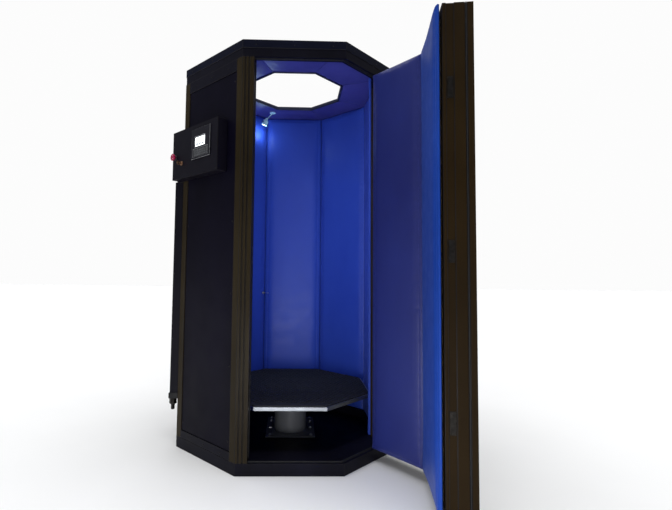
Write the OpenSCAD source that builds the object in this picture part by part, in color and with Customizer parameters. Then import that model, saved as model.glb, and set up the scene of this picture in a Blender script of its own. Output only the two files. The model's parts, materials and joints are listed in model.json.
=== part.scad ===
// Octagonal walk-in cold cabin with an open top, a two-facet door and a lift platform.
// Origin: centre of the octagon on the floor. +Z up, the doorway faces -Y. Millimetres.

/* [Cabin] */
// Height of the roof above the floor
cabin_h = 2200; // [2000:10:2400]
// Width across two opposite facets
cabin_af = 1300; // [1240:10:1400]
// Thickness of the walls
wall_t = 160; // [150:2:180]
// Width of the head opening across two opposite facets
opening_af = 600; // [500:10:640]
// Thickness of the roof plate
roof_t = 10; // [8:1:14]
// Height of the roof's edge band
fascia_h = 45; // [35:1:60]
// Height of the header ring under the edge band
header_h = 46; // [40:1:60]
// Height of the base pan
base_h = 60; // [50:1:80]
// Width of a corner post along each facet
post_w = 45; // [40:1:55]
// Depth of a corner post
post_d = 40; // [30:1:44]
// Thickness of the padded wall liners
liner_t = 27; // [20:1:30]

/* [Door] */
// Angle at which the door stands open
door_open = 82; // [0:1:95]
// Thickness of the door leaf
door_t = 155; // [145:1:158]
// Gap between the leaf and the frame
door_gap = 6; // [5:0.5:8]
// Width of the jamb post on the front facet
jamb_w = 62; // [56:1:70]
// Distance from the right-hand cabin corner to the hinge axis
hinge_setback = 140; // [130:1:160]
// Distance of the hinge axis outside the wall
hinge_out = 12; // [11.5:0.5:16]
// Diameter of the hinge pins
hinge_pin_d = 12; // [10:0.5:14]
// Height of a hinge
hinge_h = 120; // [100:2:140]

/* [Lift] */
// Travel of each of the three moving stages
stage_travel = 160; // [80:5:160]
// Height of the platform's frame top at rest
deck_top = 280; // [276:1:300]
// Gap between the platform and the wall liners
deck_gap = 16; // [12:1:30]
// Outer diameter of the fixed lift tube
lift_d = 200; // [180:2:220]

/* [Control box] */
// Width of the control box
box_w = 440; // [420:5:450]
// Height of the control box
box_h = 280; // [270:5:320]
// Depth of the control box
box_d = 60; // [56:1:75]
// Height of the middle of the control box above the floor
box_z = 1665; // [1640:5:1700]
// Travel of the emergency stop button
stop_travel = 4; // [2:0.5:5]

/* [Services] */
// Diameter of the exhaust spigot
spigot_d = 125; // [100:5:125]
// Height of the exhaust fan's axis above the floor
fan_z = 190; // [190:1:194]
// Width of the service duct
duct_w = 92; // [90:1:110]
// Depth of the service duct
duct_d = 50; // [46:1:54]

/* [Hidden] */
$fn = 64;

// Facet numbers run anticlockwise from above: 0 front, 1 front right, 2 right ... 7 front left.
PANEL_NAMES = ["right", "rear_right", "rear", "rear_left", "left", "front_left"];
FIRST_FIXED = 2;
LAST_FIXED = 7;
REAR = 4;
REAR_LEFT = 5;
LEFT = 6;
FRONT_LEFT = 7;

// Cabin
apothem = cabin_af / 2;
mitre = tan(22.5);
half = apothem * mitre;
header_z = cabin_h - fascia_h - header_h;
ceiling_z = cabin_h - roof_t;
liner_face = wall_t - 2;
liner_back = liner_face - liner_t;
core_depth = liner_back - 2;
liner_bottom = base_h + 4;
liner_top = ceiling_z - 4;
sheet = 3;
tray_depth = 24;
tray_recess = 4;
rail_top_z = header_z - 64;
kick_top_z = base_h + 42;
side_post_w = 90;
anchor_d = 14;
anchor_half = 320;

// Door
jamb_x = -half + jamb_w;
closing_x = jamb_x + door_gap;
hinge_x = half - hinge_setback;
hinge_jamb_x = hinge_x + door_gap / 2;
hinge_edge_x = hinge_x - door_gap / 2;
leaf_bottom = base_h + door_gap;
leaf_top = header_z - door_gap;
stile_w = 40;
stile_depth = door_t - liner_t - 3;
rail_h = 40;
pin_clearance = 0.05;
barrel_d = 22;
knuckle_gap = 1;
HINGE_Z = [300, 1085, 1870];
MAGNET_Z = [420, 1085, 1750];
magnet_h = 90;

// A point turned about the origin
function turned(p, a) = [p.x * cos(a) - p.y * sin(a), p.x * sin(a) + p.y * cos(a)];
// A point of the next facet's frame, given in this facet's frame
function next(p) = turned([p.x, p.y - apothem], 45) + [0, apothem];
// Half the length of a facet at a depth below its outer face, less a gap
function half_at(depth, gap) = half - depth * mitre - gap;

hinge_xy = turned([hinge_x, -hinge_out - apothem], 45);
jamb_corner = next([jamb_x, 0]);
// Where the jamb plane crosses a depth of the front left facet
function jamb_at(depth) = jamb_corner.x + jamb_corner.y - depth;

// Places its children in a facet's frame: X along the facet, Y inwards from its outer face
module on_facet(k) rotate([0, 0, 45 * k]) translate([0, -apothem, 0]) children();

// Places its children as the open door carries them
module on_door() {
    translate([hinge_xy.x, hinge_xy.y, 0])
        rotate([0, 0, door_open])
            translate([-hinge_xy.x, -hinge_xy.y, 0])
                children();
}

// A block given by its lowest and highest corners
module block(low, high) translate(low) cube(high - low);

// A prism over an outline, between two heights
module prism(points, z0, z1) translate([0, 0, z0]) linear_extrude(z1 - z0) polygon(points);

// An octagonal ring between two widths across flats
module octagon_ring(outer_af, inner_af, z0, z1) {
    translate([0, 0, z0])
        linear_extrude(z1 - z0)
            difference() {
                rotate(22.5) circle(r = outer_af / 2 / cos(22.5), $fn = 8);
                rotate(22.5) circle(r = inner_af / 2 / cos(22.5), $fn = 8);
            }
}

module octagon_plate(af, z0, z1) {
    translate([0, 0, z0])
        linear_extrude(z1 - z0)
            rotate(22.5) circle(r = af / 2 / cos(22.5), $fn = 8);
}

// A cylinder along a facet's inward direction, from y0 to y1
module bar(x, z, d, y0, y1) {
    translate([x, y0, z])
        rotate([-90, 0, 0])
            cylinder(d = d, h = y1 - y0);
}

// ---- Cabin structure ----

module base_pan() {
    color("#17181f")
        difference() {
            union() {
                octagon_plate(cabin_af, 0, 5);
                octagon_ring(cabin_af, cabin_af - 2 * liner_face, 5, base_h);
            }
            for (x = [-anchor_half, anchor_half])
                for (y = [-anchor_half, anchor_half])
                    translate([x, y, -1]) cylinder(d = anchor_d, h = 8);
        }
}

// The corner at the end of a facet, as a bent post
module corner_post_at(z0, z1) {
    prism([[half - post_w, 0], [half, 0], next([-half + post_w, 0]),
           next([-half + post_w, post_d]), [half_at(post_d, 0), post_d],
           [half - post_w, post_d]], z0, z1);
}

module corner_posts() {
    color("#191416")
        for (k = [FIRST_FIXED:LAST_FIXED - 1])
            on_facet(k) corner_post_at(base_h, header_z);
}

// Grooves in the front of the jamb post, from and to
groove_w = 6;
groove_d = 5;
jamb_grooves = [for (x = [13, 33]) [-half + x, -half + x + groove_w]];

module jamb_post() {
    color("#191416")
        difference() {
            on_facet(FRONT_LEFT)
                prism([[half - post_w, 0], [half, 0], jamb_corner,
                       [jamb_at(core_depth), core_depth], [half - side_post_w, core_depth],
                       [half - side_post_w, post_d + 6], [half - post_w, post_d + 6]],
                      base_h, header_z);
            on_facet(0)
                for (g = jamb_grooves)
                    block([g[0], -1, base_h - 1], [g[1], groove_d, header_z + 1]);
            on_facet(0)
                block([jamb_x - 6, 26, base_h - 1], [jamb_x + 1, 34, header_z + 1]);
            on_facet(0)
                block([jamb_x - 4, 78, base_h - 1], [jamb_x + 1, 110, header_z + 1]);
        }
}

module hinge_post() {
    color("#191416")
        on_facet(1)
            prism([[hinge_jamb_x, 0], [half, 0], next([-half + post_w, 0]),
                   next([-half + post_w, post_d + 6]), next([-half + side_post_w, post_d + 6]),
                   next([-half + side_post_w, core_depth]), [half_at(core_depth, 0), core_depth],
                   [hinge_jamb_x, core_depth]],
                  base_h, header_z);
}

// Header ring, with the filler blocks that close the wall above the two door posts
module top_ring() {
    ring_depth = 45;
    fill_depth = ring_depth - 1;
    color("#1c1518")
        union() {
            octagon_ring(cabin_af - 6, cabin_af - 2 * ring_depth, header_z, cabin_h - fascia_h);
            on_facet(FRONT_LEFT)
                prism([[half - side_post_w, fill_depth], [half_at(fill_depth, 0), fill_depth],
                       next([jamb_x, fill_depth]),
                       [jamb_at(core_depth), core_depth], [half - side_post_w, core_depth]],
                      header_z, ceiling_z - 2);
            on_facet(1)
                prism([[hinge_jamb_x, fill_depth], [half_at(fill_depth, 0), fill_depth],
                       next([-half + side_post_w, fill_depth]),
                       next([-half + side_post_w, core_depth]),
                       [half_at(core_depth, 0), core_depth], [hinge_jamb_x, core_depth]],
                      header_z, ceiling_z - 2);
        }
}

module roof_cap() {
    skirt_t = 12;
    color("#141a33")
        union() {
            octagon_ring(cabin_af, opening_af, ceiling_z, cabin_h);
            octagon_ring(cabin_af, cabin_af - 2 * skirt_t, cabin_h - fascia_h, ceiling_z);
        }
}

// Edge trim that clips over the rim of the head opening
module opening_trim() {
    lip = 6;
    color("#22243a")
        difference() {
            octagon_ring(opening_af + 2 * lip, opening_af - 2 * lip, ceiling_z - lip, cabin_h + lip);
            octagon_ring(opening_af + 4 * lip, opening_af, ceiling_z, cabin_h);
        }
}

module panel_rails() {
    rail_half = half - post_w - 1;
    color("#16151d")
        for (k = [FIRST_FIXED:LAST_FIXED])
            on_facet(k) {
                block([-rail_half, 0, rail_top_z], [rail_half, tray_depth, header_z - 1]);
                block([-rail_half, 0, base_h + 1], [rail_half, tray_depth, kick_top_z]);
            }
}

// A folded sheet tray: a face with four returned edges
module tray(x0, x1, z0, z1) {
    difference() {
        block([x0, tray_recess, z0], [x1, tray_recess + tray_depth, z1]);
        block([x0 + sheet, tray_recess + sheet, z0 + sheet],
              [x1 - sheet, tray_recess + tray_depth + 1, z1 - sheet]);
    }
}

nozzle_x = 176;
nozzle_z = 300;
pipe_d = 22;

module outer_panel(k) {
    edge = half - post_w - 2;
    color("#0f0e19")
        on_facet(k)
            difference() {
                tray(-edge, edge, kick_top_z + 2, rail_top_z - 2);
                if (k == REAR) bar(0, fan_z, spigot_d + 7, 0, tray_depth);
                if (k == LEFT) bar(nozzle_x, nozzle_z, pipe_d + 2, 0, tray_depth);
            }
}

module wall_insulation() {
    outer = post_d + 8;
    // Half-length of a block at a depth; the ends beside the door posts are square
    function end_at(k, side, d) =
        (k == FIRST_FIXED && side < 0) || (k == LAST_FIXED && side > 0)
            ? half - side_post_w - 2
            : half_at(d, 2);
    color("#c9b27a")
        for (k = [FIRST_FIXED:LAST_FIXED])
            on_facet(k)
                difference() {
                    prism([[-end_at(k, -1, outer), outer], [end_at(k, 1, outer), outer],
                           [end_at(k, 1, core_depth), core_depth],
                           [-end_at(k, -1, core_depth), core_depth]],
                          base_h + 4, liner_top);
                    if (k == REAR) bar(0, fan_z, spigot_d + 9, 0, wall_t);
                    if (k == LEFT) bar(nozzle_x, nozzle_z, pipe_d + 2, 0, wall_t);
                }
}

module liner_slab(left_back, left_face, right_back, right_face) {
    prism([[left_back, liner_back], [right_back, liner_back],
           [right_face, liner_face], [left_face, liner_face]],
          liner_bottom, liner_top);
}

module liner(k) {
    back = half_at(liner_back, 1);
    face = half_at(liner_face, 1);
    jamb_clear = 3;
    color("#2c3aa0") {
        on_facet(k)
            difference() {
                if (k == LAST_FIXED)
                    liner_slab(-back, -face, jamb_at(liner_back) - jamb_clear,
                               jamb_at(liner_face) - jamb_clear);
                else
                    liner_slab(-back, -face, back, face);
                if (k == REAR) bar(0, fan_z, spigot_d - 1, 0, wall_t);
                if (k == LEFT) bar(nozzle_x, nozzle_z, pipe_d + 2, 0, wall_t);
            }
        if (k == FIRST_FIXED)
            on_facet(1) liner_slab(hinge_jamb_x + 2, hinge_jamb_x + 2, back, face);
    }
}

// ---- Door frame fittings ----

// Outline of a strip that follows the doorway round its bend
function doorway_strip(y0, y1) =
    [[jamb_x, y0], [half_at(y0, 0), y0], next([hinge_jamb_x, y0]),
     next([hinge_jamb_x, y1]), [half_at(y1, 0), y1], [jamb_x, y1]];

module frame_gasket() {
    seal_t = 3.5;
    color("#0a0a0c") {
        on_facet(0)
            block([jamb_x, 44, leaf_bottom], [jamb_x + seal_t, 64, leaf_top]);
        on_facet(1)
            block([hinge_jamb_x - seal_t, 44, leaf_bottom], [hinge_jamb_x, 64, leaf_top]);
        on_facet(0)
            prism(doorway_strip(14, 34), header_z - seal_t, header_z);
        on_facet(0)
            prism(doorway_strip(14, 34), base_h, base_h + seal_t);
    }
}

module strike_plates() {
    color("#b9bcc2")
        on_facet(0)
            for (z = MAGNET_Z)
                block([jamb_x - 4, 82, z - magnet_h / 2], [jamb_x - 1, 106, z + magnet_h / 2]);
}

// A hinge leaf with its knuckles; side is +1 towards the frame and -1 towards the door
module hinge_leaf(side, knuckles) {
    leaf_t = 4;
    leaf_w = 66;
    clear = barrel_d / 2 + 1;
    difference() {
        union() {
            translate([side > 0 ? 4 : -4 - leaf_w, hinge_out - leaf_t, -hinge_h / 2])
                cube([leaf_w, leaf_t, hinge_h]);
            for (k = knuckles) {
                translate([0, 0, k[0]]) cylinder(d = barrel_d, h = k[1] - k[0]);
                translate([side > 0 ? 0 : -barrel_d / 2, 0, k[0]])
                    cube([barrel_d / 2, hinge_out - leaf_t / 2, k[1] - k[0]]);
            }
        }
        translate([0, 0, -hinge_h])
            cylinder(d = hinge_pin_d + 2 * pin_clearance, h = 2 * hinge_h);
        for (k = [0:len(knuckles)])
            let (z0 = k == 0 ? -hinge_h : knuckles[k - 1][1],
                 z1 = k == len(knuckles) ? hinge_h : knuckles[k][0])
                translate([-clear, -clear, z0])
                    cube([2 * clear, clear + hinge_out + 1, z1 - z0]);
    }
}

mid_knuckle = 24;
FRAME_KNUCKLES = [[-hinge_h / 2, -mid_knuckle - knuckle_gap],
                  [mid_knuckle + knuckle_gap, hinge_h / 2]];
DOOR_KNUCKLES = [[-mid_knuckle, mid_knuckle]];

module at_hinges() {
    for (z = HINGE_Z)
        on_facet(1) translate([hinge_x, -hinge_out, z]) children();
}

module hinge_frame_leaves() {
    color("#2a2a2e") at_hinges() hinge_leaf(1, FRAME_KNUCKLES);
}

module hinge_door_leaves() {
    color("#2a2a2e") on_door() at_hinges() hinge_leaf(-1, DOOR_KNUCKLES);
}

module hinge_pins() {
    head_h = 4;
    color("#8f9298")
        at_hinges() {
            translate([0, 0, -hinge_h / 2]) cylinder(d = hinge_pin_d, h = hinge_h);
            translate([0, 0, hinge_h / 2]) cylinder(d = hinge_pin_d + 6, h = head_h);
        }
}

// ---- Door ----

module door_frame() {
    color("#1c1518")
        on_door() {
            on_facet(0) corner_post_at(leaf_bottom + rail_h, leaf_top - rail_h);
            on_facet(1)
                block([hinge_edge_x - stile_w, 0, leaf_bottom], [hinge_edge_x, stile_depth, leaf_top]);
            on_facet(0)
                for (z = [leaf_bottom, leaf_top - rail_h])
                    prism([[closing_x + stile_w, 0], [half, 0],
                           next([hinge_edge_x - stile_w, 0]),
                           next([hinge_edge_x - stile_w, stile_depth]),
                           [half_at(stile_depth, 0), stile_depth],
                           [closing_x + stile_w, stile_depth]],
                          z, z + rail_h);
        }
}

// Stepped profile on the closing edge: a seal groove and a magnet channel
module door_closing_profile() {
    color("#1d1413")
        on_door()
            on_facet(0)
                translate([closing_x, 0, 0])
                    prism([[0, 0], [0, 26], [8, 26], [8, 34], [0, 34], [0, 78], [4, 78], [4, 110],
                           [0, 110], [0, stile_depth], [stile_w, stile_depth], [stile_w, 0]],
                          leaf_bottom, leaf_top);
}

module door_skin_front() {
    color("#0f0e19")
        on_door()
            on_facet(0)
                difference() {
                    tray(closing_x + stile_w + 2, half - post_w - 2,
                         leaf_bottom + rail_h + 2, leaf_top - rail_h - 2);
                    face_block(PULL, 0.5, 0, tray_recess + sheet + 1);
                }
}

module door_skin_side() {
    color("#0f0e19")
        on_door()
            on_facet(1)
                tray(-half + post_w + 2, hinge_edge_x - stile_w - 2,
                     leaf_bottom + rail_h + 2, leaf_top - rail_h - 2);
}

module door_insulation() {
    outer = tray_recess + tray_depth + 2;
    inner = post_d + 6;
    // Outline of one block, from its straight end towards the bend
    function block_outline(end) =
        [[end, outer], [half - post_w - 2, outer], [half - post_w - 2, inner],
         [half_at(inner, 2), inner], [half_at(stile_depth, 2), stile_depth], [end, stile_depth]];
    color("#c9b27a")
        on_door() {
            on_facet(0)
                prism(block_outline(closing_x + stile_w + 2),
                      leaf_bottom + rail_h + 2, leaf_top - rail_h - 2);
            on_facet(1)
                mirror([1, 0, 0])
                    prism(block_outline(-hinge_edge_x + stile_w + 2),
                          leaf_bottom + rail_h + 2, leaf_top - rail_h - 2);
        }
}

// A door pad, from its straight end towards the bend
module door_pad(end) {
    back = door_t - liner_t;
    prism([[end, back], [half_at(back, 1), back], [half_at(door_t, 1), door_t], [end, door_t]],
          leaf_bottom + 2, leaf_top - 2);
}

module door_liner_front() {
    color("#2f45ad") on_door() on_facet(0) door_pad(closing_x + 2);
}

module door_liner_side() {
    color("#20256e") on_door() on_facet(1) mirror([1, 0, 0]) door_pad(-hinge_edge_x + 2);
}

// Bulb seal in the groove of the closing profile
module door_gasket() {
    color("#0a0a0c")
        on_door()
            on_facet(0)
                block([closing_x - 2, 27, leaf_bottom + 1], [closing_x + 7.5, 33, leaf_top - 1]);
}

module latch_magnets() {
    color("#9a9da3")
        on_door()
            on_facet(0)
                for (z = MAGNET_Z)
                    block([closing_x + 1, 82, z - magnet_h / 2], [closing_x + 4, 106, z + magnet_h / 2]);
}

pull_z = 1085;
pull_x = closing_x + stile_w + 50;
PULL = [[pull_x - 32, pull_z - 65], [pull_x + 32, pull_z + 65]];

// A block over a rectangle of a facet, grown by an amount, between two depths
module face_block(area, grow, y0, y1) {
    block([area[0].x - grow, y0, area[0].y - grow], [area[1].x + grow, y1, area[1].y + grow]);
}

// Flush cup in the outer skin for the fingers
module door_pull() {
    color("#b9bcc2")
        on_door()
            on_facet(0)
                difference() {
                    union() {
                        face_block(PULL, 8, tray_recess - 2, tray_recess);
                        face_block(PULL, 0, tray_recess, tray_recess + tray_depth);
                    }
                    face_block(PULL, -3, tray_recess - 3, tray_recess + tray_depth - 2);
                }
}

// ---- Control box on the front left facet ----

box_x0 = -291;
box_x1 = box_x0 + box_w;
box_z0 = box_z - box_h / 2;
box_z1 = box_z + box_h / 2;
cover_t = 2.7;
stop_x = -262;
stop_z = box_z - 10;
key_x = -196;
key_z = box_z - 53;
DISPLAY = [[-86, box_z - 53], [89, box_z + 113]];
SCREEN = [[-56, box_z + 11], [42, box_z + 69]];
KEYPAD = [[-70, box_z - 43], [72, box_z + 3]];
stop_stem_d = 12;
key_rotor_d = 10;
stop_hole_d = 22.5;
key_hole_d = 19.4;

module control_box() {
    wall = 2.5;
    color("#15151c")
        on_facet(FRONT_LEFT)
            difference() {
                block([box_x0, -box_d + cover_t, box_z0], [box_x1, 0, box_z1]);
                block([box_x0 + wall, -box_d, box_z0 + wall], [box_x1 - wall, -wall, box_z1 - wall]);
            }
}

module control_cover() {
    color("#15151c")
        on_facet(FRONT_LEFT)
            difference() {
                block([box_x0, -box_d, box_z0], [box_x1, -box_d + cover_t, box_z1]);
                face_block(DISPLAY, -6, -box_d - 1, 0);
                bar(stop_x, stop_z, stop_hole_d, -box_d - 1, 0);
                bar(key_x, key_z, key_hole_d, -box_d - 1, 0);
            }
}

module display_bezel() {
    proud = 6;
    color("#9aa0a6")
        on_facet(FRONT_LEFT)
            difference() {
                union() {
                    face_block(DISPLAY, 0, -box_d - proud, -box_d);
                    face_block(DISPLAY, -7, -box_d, -box_d + 14);
                }
                face_block(SCREEN, 0, -box_d - proud - 1, -box_d + 2);
                face_block(KEYPAD, 0, -box_d - proud - 1, -box_d);
            }
}

module display_screen() {
    color("#f4f8ff")
        on_facet(FRONT_LEFT) face_block(SCREEN, -0.5, -box_d - 3, -box_d + 2);
}

module keypad_membrane() {
    color("#3a3d42")
        on_facet(FRONT_LEFT) face_block(KEYPAD, -0.5, -box_d - 4.5, -box_d);
}

module stop_collar() {
    color("#1a1a1d")
        on_facet(FRONT_LEFT)
            difference() {
                union() {
                    bar(stop_x, stop_z, 30, -box_d - 4, -box_d);
                    bar(stop_x, stop_z, stop_hole_d - 0.3, -box_d, -20);
                }
                bar(stop_x, stop_z, stop_stem_d + 2 * pin_clearance, -box_d - 5, 0);
            }
}

module stop_button() {
    head_y = -box_d - 8 - stop_travel;
    color("#c4122b")
        on_facet(FRONT_LEFT)
            translate([stop_x, head_y, stop_z])
                rotate([90, 0, 0]) {
                    translate([0, 0, -42]) cylinder(d = stop_stem_d, h = 43);
                    cylinder(d1 = 32, d2 = 40, h = 5);
                    translate([0, 0, 5]) cylinder(d = 40, h = 4);
                    translate([0, 0, 9]) cylinder(d1 = 40, d2 = 32, h = 4);
                }
}

module key_switch_barrel() {
    color("#c3c6cb")
        on_facet(FRONT_LEFT)
            difference() {
                union() {
                    bar(key_x, key_z, 25, -box_d - 3, -box_d);
                    bar(key_x, key_z, key_hole_d - 0.4, -box_d, -24);
                }
                bar(key_x, key_z, key_rotor_d + 2 * pin_clearance, -box_d - 5, -30);
            }
}

module switch_key() {
    color("#8a8d92")
        on_facet(FRONT_LEFT)
            difference() {
                union() {
                    bar(key_x, key_z, key_rotor_d, -box_d - 3.5, -31);
                    block([key_x - 1.2, -box_d - 10, key_z - 4], [key_x + 1.2, -box_d - 3, key_z + 4]);
                    translate([key_x - 1.2, -box_d - 19, key_z])
                        rotate([0, 90, 0]) cylinder(d = 22, h = 2.4);
                }
                translate([key_x - 2, -box_d - 23, key_z]) rotate([0, 90, 0]) cylinder(d = 6, h = 4);
            }
}

// ---- Services ----

duct_x1 = 252;
duct_x0 = duct_x1 - duct_w;
duct_z0 = 262;
duct_z1 = box_z0 - 1;
inlet_x = 226;
inlet_y = -36;
inlet_d = 22;
inlet_neck_d = 19;

module service_duct() {
    wall = 2.5;
    color("#17161d")
        on_facet(LEFT)
            difference() {
                block([duct_x0, -duct_d, duct_z0], [duct_x1, 0, duct_z1]);
                block([duct_x0 + wall, -duct_d + wall, duct_z0 + wall],
                      [duct_x1 - wall, 1, duct_z1 - wall]);
                translate([inlet_x, inlet_y, duct_z0 - 1])
                    cylinder(d = inlet_neck_d + 0.6, h = wall + 2);
            }
}

// Union fitting for the cold supply hose: hexagon, neck into the duct and a stub below
module coolant_inlet() {
    color("#3b3a3c")
        on_facet(LEFT)
            translate([inlet_x, inlet_y, 0])
                union() {
                    translate([0, 0, duct_z0 - 34])
                        rotate(30) cylinder(d = 38 / cos(30), h = 34, $fn = 6);
                    translate([0, 0, duct_z0 - 1]) cylinder(d = inlet_neck_d, h = 26);
                    translate([0, 0, duct_z0 - 66]) cylinder(d = inlet_d, h = 33);
                }
}

module vapour_outlet() {
    plate_h = 60;
    color("#b4b8be")
        on_facet(LEFT)
            difference() {
                union() {
                    bar(nozzle_x, nozzle_z, pipe_d, -30, liner_face + 1);
                    block([nozzle_x - 40, liner_face, nozzle_z - plate_h / 2],
                          [nozzle_x + 22, liner_face + 4, nozzle_z + plate_h / 2]);
                }
                bar(nozzle_x, nozzle_z, pipe_d - 6, -31, liner_face + 5);
            }
}

probe_x = -182;
probe_z = 845;

module temperature_probe() {
    color("#c9ccd0")
        on_facet(REAR_LEFT)
            union() {
                bar(probe_x, probe_z, 20, liner_face, liner_face + 4);
                bar(probe_x, probe_z, 6, liner_face + 3, liner_face + 62);
            }
}

// Lamp: a disc on the ceiling, a slanted stem, and a head that tilts on a cross pin
LAMP_BASE = [-165, 375, ceiling_z - 6];
LAMP_PIVOT = [-207, 387, 2144];
lamp_arm = LAMP_PIVOT - LAMP_BASE;
lamp_turn = atan2(lamp_arm.y, lamp_arm.x);
lamp_lean = acos(lamp_arm.z / norm(lamp_arm));
lamp_aim = 25;
lamp_pin_d = 5;
lug_d = 14;
lug_t = 6;
ear_t = 4;
ear_gap = 0.5;
lamp_d = 42;

module at_lamp_pivot() translate(LAMP_PIVOT) rotate([0, 0, lamp_turn]) children();

// A disc across the tilt axis, centred at a distance from the middle
module lug(d, t, centre) translate([0, centre + t / 2, 0]) rotate([90, 0, 0]) cylinder(d = d, h = t);

module lamp_bracket() {
    color("#d5d8dc")
        difference() {
            union() {
                translate(LAMP_BASE) cylinder(d = 44, h = 6);
                translate(LAMP_BASE)
                    rotate([0, lamp_lean, lamp_turn])
                        cylinder(d = lug_t, h = norm(lamp_arm) - 3);
                at_lamp_pivot() lug(lug_d, lug_t, 0);
            }
            at_lamp_pivot() lug(lamp_pin_d + 2 * pin_clearance, 2 * lug_t, 0);
        }
}

module lamp_head() {
    ear_y = lug_t / 2 + ear_gap + ear_t / 2;
    color("#d5d8dc")
        at_lamp_pivot() {
            union() {
                lug(lamp_pin_d, 2 * (ear_y + ear_t / 2), 0);
                for (s = [-1, 1]) {
                    lug(lug_d, ear_t, s * ear_y);
                    rotate([0, 180 - lamp_aim, 0])
                        translate([-6, s * ear_y - ear_t / 2, 0]) cube([12, ear_t, 14]);
                }
                rotate([0, 180 - lamp_aim, 0])
                    difference() {
                        translate([0, 0, 12]) cylinder(d = lamp_d, h = 38);
                        translate([0, 0, 46]) cylinder(d = lamp_d - 6, h = 5);
                    }
            }
        }
}

module lamp_lens() {
    color("#ffffff")
        at_lamp_pivot()
            rotate([0, 180 - lamp_aim, 0])
                translate([0, 0, 46.2]) cylinder(d = lamp_d - 7, h = 3);
}

// Exhaust fan: spigot outside the rear panel, sleeve through the wall, motor boss on three struts
fan_shaft_d = 6;
boss_d = 50;

module fan_housing() {
    bore_d = spigot_d - 6;
    color("#4a4d55")
        on_facet(REAR)
            difference() {
                union() {
                    difference() {
                        union() {
                            bar(0, fan_z, spigot_d, -60, 1);
                            bar(0, fan_z, spigot_d + 40, 0, tray_recess);
                            bar(0, fan_z, spigot_d + 5, tray_recess - 1, core_depth);
                            bar(0, fan_z, spigot_d - 3, core_depth - 1, liner_face);
                        }
                        bar(0, fan_z, bore_d, -61, wall_t);
                    }
                    bar(0, fan_z, boss_d, 30, 62);
                    for (a = [90, 210, 330])
                        translate([0, 0, fan_z])
                            rotate([0, a, 0])
                                block([boss_d / 2 - 2, 34, -3], [bore_d / 2 + 1, 44, 3]);
                }
                bar(0, fan_z, fan_shaft_d + 2 * pin_clearance, 40, 63);
            }
}

module fan_impeller() {
    blade_tip = spigot_d / 2 - 6;
    color("#26282d")
        on_facet(REAR)
            union() {
                bar(0, fan_z, boss_d, 66, 92);
                bar(0, fan_z, fan_shaft_d, 42, 67);
                for (i = [0:6])
                    translate([0, 79, fan_z])
                        rotate([0, i * 360 / 7, 0])
                            rotate([38, 0, 0])
                                translate([boss_d / 2 - 2, -12, -1.2])
                                    cube([blade_tip - boss_d / 2 + 1, 24, 2.4]);
            }
}

// ---- Lift ----

tube_t = 6;
stage_gap = 1;
lift_foot_z = 5;
foot_t = 10;
stage_step = 2 * (tube_t + stage_gap);

// A lift tube: stage 0 is the fixed one
module lift_tube(stage, z0, z1) {
    outer_d = lift_d - stage * stage_step;
    translate([0, 0, z0])
        difference() {
            cylinder(d = outer_d, h = z1 - z0);
            translate([0, 0, -1]) cylinder(d = outer_d - 2 * tube_t, h = z1 - z0 + 2);
        }
}

// Foot plate with the lift motor beside the tube
module lift_base() {
    motor_d = 90;
    motor_y = lift_d / 2 + motor_d / 2 + 8;
    color("#55585f")
        union() {
            block([-150, -150, lift_foot_z],
                  [150, motor_y + motor_d / 2 + 10, lift_foot_z + foot_t]);
            translate([0, motor_y, lift_foot_z]) cylinder(d = motor_d, h = 150);
        }
}

module lift_outer_tube() {
    color("#55585f") lift_tube(0, lift_foot_z + foot_t, deck_top - 50);
}

module lift_stage_1() {
    color("#8b8f96") lift_tube(1, lift_foot_z + 12, deck_top - 40);
}

module lift_stage_2() {
    color("#a3a7ad") lift_tube(2, lift_foot_z + 16, deck_top - 30);
}

deck_af = cabin_af - 2 * (liner_face + deck_gap);
deck_t = 20;

module platform_tube() {
    color("#b4b8be") lift_tube(3, lift_foot_z + 20, deck_top - deck_t);
}

module lift_platform() {
    color("#6d7178") octagon_plate(deck_af, deck_top - deck_t, deck_top);
}

module platform_mat() {
    mat_t = 10;
    color("#1b1d22") octagon_plate(deck_af - 20, deck_top, deck_top + mat_t);
}

base_pan();
corner_posts();
jamb_post();
hinge_post();
top_ring();
roof_cap();
opening_trim();
panel_rails();
for (i = [0:len(PANEL_NAMES) - 1]) {
    outer_panel(FIRST_FIXED + i);
    liner(FIRST_FIXED + i);
}
wall_insulation();
frame_gasket();
strike_plates();
hinge_frame_leaves();
hinge_pins();
control_box();
control_cover();
display_bezel();
display_screen();
keypad_membrane();
stop_collar();
stop_button();
key_switch_barrel();
switch_key();
service_duct();
coolant_inlet();
vapour_outlet();
temperature_probe();
lamp_bracket();
lamp_head();
lamp_lens();
fan_housing();
fan_impeller();
lift_base();
lift_outer_tube();
lift_stage_1();
lift_stage_2();
platform_tube();
lift_platform();
platform_mat();
door_frame();
door_closing_profile();
door_skin_front();
door_skin_side();
door_insulation();
door_liner_front();
door_liner_side();
door_gasket();
door_pull();
latch_magnets();
hinge_door_leaves();
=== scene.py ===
import json
import math

import bmesh
import bpy
from mathutils import Matrix, Vector


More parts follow.
